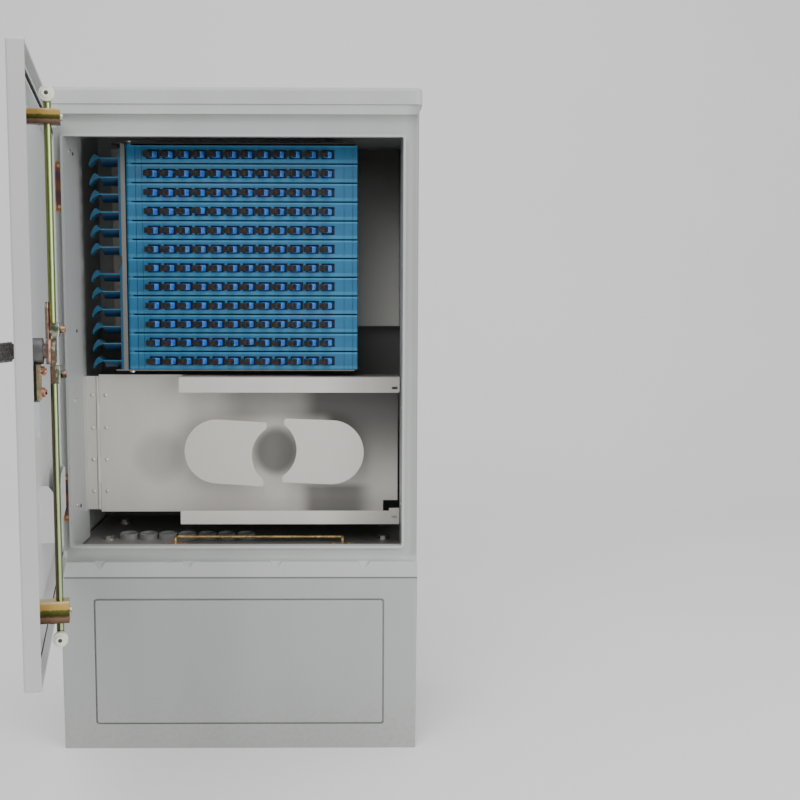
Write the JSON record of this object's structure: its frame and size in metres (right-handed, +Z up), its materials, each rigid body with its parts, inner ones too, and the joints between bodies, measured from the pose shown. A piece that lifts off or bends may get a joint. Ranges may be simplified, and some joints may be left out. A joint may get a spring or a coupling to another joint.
{
  "type": "roadside utility cabinet",
  "caption": "Grey street cabinet for optical fibre connections on its own plinth, door open, with swing-out splice trays, a swinging storage panel and a rod lock.",
  "frame": {"origin": "centre of the plinth's base on the ground, which is the centre of the anchor hole pattern", "axes": "+Z up, front with the door towards -Y, +X to the right of someone facing the front"},
  "size_m": [0.5739, 0.846, 1.035],
  "materials": {
    "moulding_grey": "fine grained",
    "sheet_grey": "powder coated",
    "interior_plate": "powder coated, dark inside",
    "tray_teal": "moulded",
    "adapter_blue": "moulded, with black caps",
    "zinc_yellow": "yellow passivated zinc",
    "zinc_rainbow": "iridescent passivated zinc",
    "zinc_bright": "bright zinc",
    "die_cast": "satin plated die casting",
    "nylon_white": "moulded nylon",
    "copper_brown": "brown passivated zinc",
    "rubber_black": "soft foam",
    "gland_rubber": "moulded rubber"
  },
  "bodies": {
    "cabinet": {"plinth_frame": "moulding_grey", "plinth_panel": "moulding_grey", "front_frame": "moulding_grey", "side_panel_left": "moulding_grey", "side_panel_right": "moulding_grey", "back_panel": "moulding_grey", "floor_panel": "interior_plate", "roof_cap": "moulding_grey", "cable_glands": "gland_rubber", "cable_tie_bar": "zinc_yellow", "tray_frame": "sheet_grey", "tray_pivot_rod": "zinc_bright", "fibre_guides": "tray_teal", "mounting_plate": "interior_plate", "panel_hinge_leaf": "zinc_yellow", "frame_hinge_leaves": "zinc_rainbow", "frame_screws": "zinc_bright"},
    "door": {"door_shell": "moulding_grey", "door_gasket": "rubber_black", "door_hinge_leaves": "zinc_rainbow", "handle_escutcheon": "die_cast", "lock_housing": "die_cast", "rod_guides": "zinc_yellow", "door_screws": "zinc_bright", "document_pocket": "moulding_grey"},
    "lock": {"lock_spindle": "zinc_yellow"},
    "lever": {"lever_handle": "die_cast"},
    "cover": {"keyhole_cover": "die_cast"},
    "button": {"release_button": "die_cast"},
    "upper_rod_set": {"upper_rod": "zinc_yellow", "upper_rod_clamp": "copper_brown"},
    "lower_rod_set": {"lower_rod": "zinc_yellow", "lower_rod_clamp": "copper_brown"},
    "top_roller": {"upper_roller": "nylon_white"},
    "bottom_roller": {"lower_roller": "nylon_white"},
    "swing_panel": {"storage_panel": "sheet_grey"},
    "tray_set_01": {"tray_01": "tray_teal", "adapters_01": "adapter_blue"},
    "tray_set_02": {"tray_02": "tray_teal", "adapters_02": "adapter_blue"},
    "tray_set_03": {"tray_03": "tray_teal", "adapters_03": "adapter_blue"},
    "tray_set_04": {"tray_04": "tray_teal", "adapters_04": "adapter_blue"},
    "tray_set_05": {"tray_05": "tray_teal", "adapters_05": "adapter_blue"},
    "tray_set_06": {"tray_06": "tray_teal", "adapters_06": "adapter_blue"},
    "tray_set_07": {"tray_07": "tray_teal", "adapters_07": "adapter_blue"},
    "tray_set_08": {"tray_08": "tray_teal", "adapters_08": "adapter_blue"},
    "tray_set_09": {"tray_09": "tray_teal", "adapters_09": "adapter_blue"},
    "tray_set_10": {"tray_10": "tray_teal", "adapters_10": "adapter_blue"},
    "tray_set_11": {"tray_11": "tray_teal", "adapters_11": "adapter_blue"},
    "tray_set_12": {"tray_12": "tray_teal", "adapters_12": "adapter_blue"}
  },
  "joints": [
    {"name": "door_hinge", "type": "hinge", "parent": "cabinet", "child": "door", "pos_m": [-0.276, -0.145, 0.6455], "axis": [0, 0, -1], "range_deg": [-77.5, 42.5]},
    {"name": "lock_turn", "type": "hinge", "parent": "door", "child": "lock", "pos_m": [-0.16647, -0.61596, 0.667], "axis": [0.9763, 0.2164, 0], "range_deg": [0, 90]},
    {"name": "handle_tilt", "type": "hinge", "parent": "lock", "child": "lever", "pos_m": [-0.18307, -0.61964, 0.667], "axis": [0, 0, -1], "range_deg": [-15, 15]},
    {"name": "keyhole_cover_swing", "type": "hinge", "parent": "lever", "child": "cover", "pos_m": [-0.2156, -0.66696, 0.667], "axis": [-0.887, 0.4617, 0], "range_deg": [0, 90]},
    {"name": "release_button_press", "type": "slide", "parent": "door", "child": "button", "axis": [0.9763, 0.2164, 0], "range_m": [0, 0.003], "stiffness_N_per_m": 300},
    {"name": "upper_rod_slide", "type": "slide", "parent": "door", "child": "upper_rod_set", "axis": [0, 0, 1], "range_m": [0, 0.018]},
    {"name": "lower_rod_slide", "type": "slide", "parent": "door", "child": "lower_rod_set", "axis": [0, 0, -1], "range_m": [0, 0.018]},
    {"name": "upper_roller_spin", "type": "hinge", "parent": "upper_rod_set", "child": "top_roller", "pos_m": [-0.14883, -0.61696, 0.945], "axis": [0.2164, -0.9763, 0], "continuous": true},
    {"name": "lower_roller_spin", "type": "hinge", "parent": "lower_rod_set", "child": "bottom_roller", "pos_m": [-0.14883, -0.61696, 0.341], "axis": [0.2164, -0.9763, 0], "continuous": true},
    {"name": "storage_panel_hinge", "type": "hinge", "parent": "cabinet", "child": "swing_panel", "pos_m": [-0.24275, -0.03925, 0.4755], "axis": [0, 0, -1], "range_deg": [0, 75]},
    {"name": "tray_swing_01", "type": "hinge", "parent": "cabinet", "child": "tray_set_01", "pos_m": [-0.179, -0.061, 0.9445], "axis": [0, 0, -1], "range_deg": [0, 90]},
    {"name": "tray_swing_02", "type": "hinge", "parent": "cabinet", "child": "tray_set_02", "pos_m": [-0.179, -0.061, 0.9145], "axis": [0, 0, -1], "range_deg": [0, 90]},
    {"name": "tray_swing_03", "type": "hinge", "parent": "cabinet", "child": "tray_set_03", "pos_m": [-0.179, -0.061, 0.8845], "axis": [0, 0, -1], "range_deg": [0, 90]},
    {"name": "tray_swing_04", "type": "hinge", "parent": "cabinet", "child": "tray_set_04", "pos_m": [-0.179, -0.061, 0.8545], "axis": [0, 0, -1], "range_deg": [0, 90]},
    {"name": "tray_swing_05", "type": "hinge", "parent": "cabinet", "child": "tray_set_05", "pos_m": [-0.179, -0.061, 0.8245], "axis": [0, 0, -1], "range_deg": [0, 90]},
    {"name": "tray_swing_06", "type": "hinge", "parent": "cabinet", "child": "tray_set_06", "pos_m": [-0.179, -0.061, 0.7945], "axis": [0, 0, -1], "range_deg": [0, 90]},
    {"name": "tray_swing_07", "type": "hinge", "parent": "cabinet", "child": "tray_set_07", "pos_m": [-0.179, -0.061, 0.7645], "axis": [0, 0, -1], "range_deg": [0, 90]},
    {"name": "tray_swing_08", "type": "hinge", "parent": "cabinet", "child": "tray_set_08", "pos_m": [-0.179, -0.061, 0.7345], "axis": [0, 0, -1], "range_deg": [0, 90]},
    {"name": "tray_swing_09", "type": "hinge", "parent": "cabinet", "child": "tray_set_09", "pos_m": [-0.179, -0.061, 0.7045], "axis": [0, 0, -1], "range_deg": [0, 90]},
    {"name": "tray_swing_10", "type": "hinge", "parent": "cabinet", "child": "tray_set_10", "pos_m": [-0.179, -0.061, 0.6745], "axis": [0, 0, -1], "range_deg": [0, 90]},
    {"name": "tray_swing_11", "type": "hinge", "parent": "cabinet", "child": "tray_set_11", "pos_m": [-0.179, -0.061, 0.6445], "axis": [0, 0, -1], "range_deg": [0, 90]},
    {"name": "tray_swing_12", "type": "hinge", "parent": "cabinet", "child": "tray_set_12", "pos_m": [-0.179, -0.061, 0.6145], "axis": [0, 0, -1], "range_deg": [0, 90]}
  ],
  "couplings": [
    {"joint": "upper_rod_slide", "follows": "lock_turn", "m_per_rad": 0.01143},
    {"joint": "lower_rod_slide", "follows": "lock_turn", "m_per_rad": 0.01143}
  ]
}
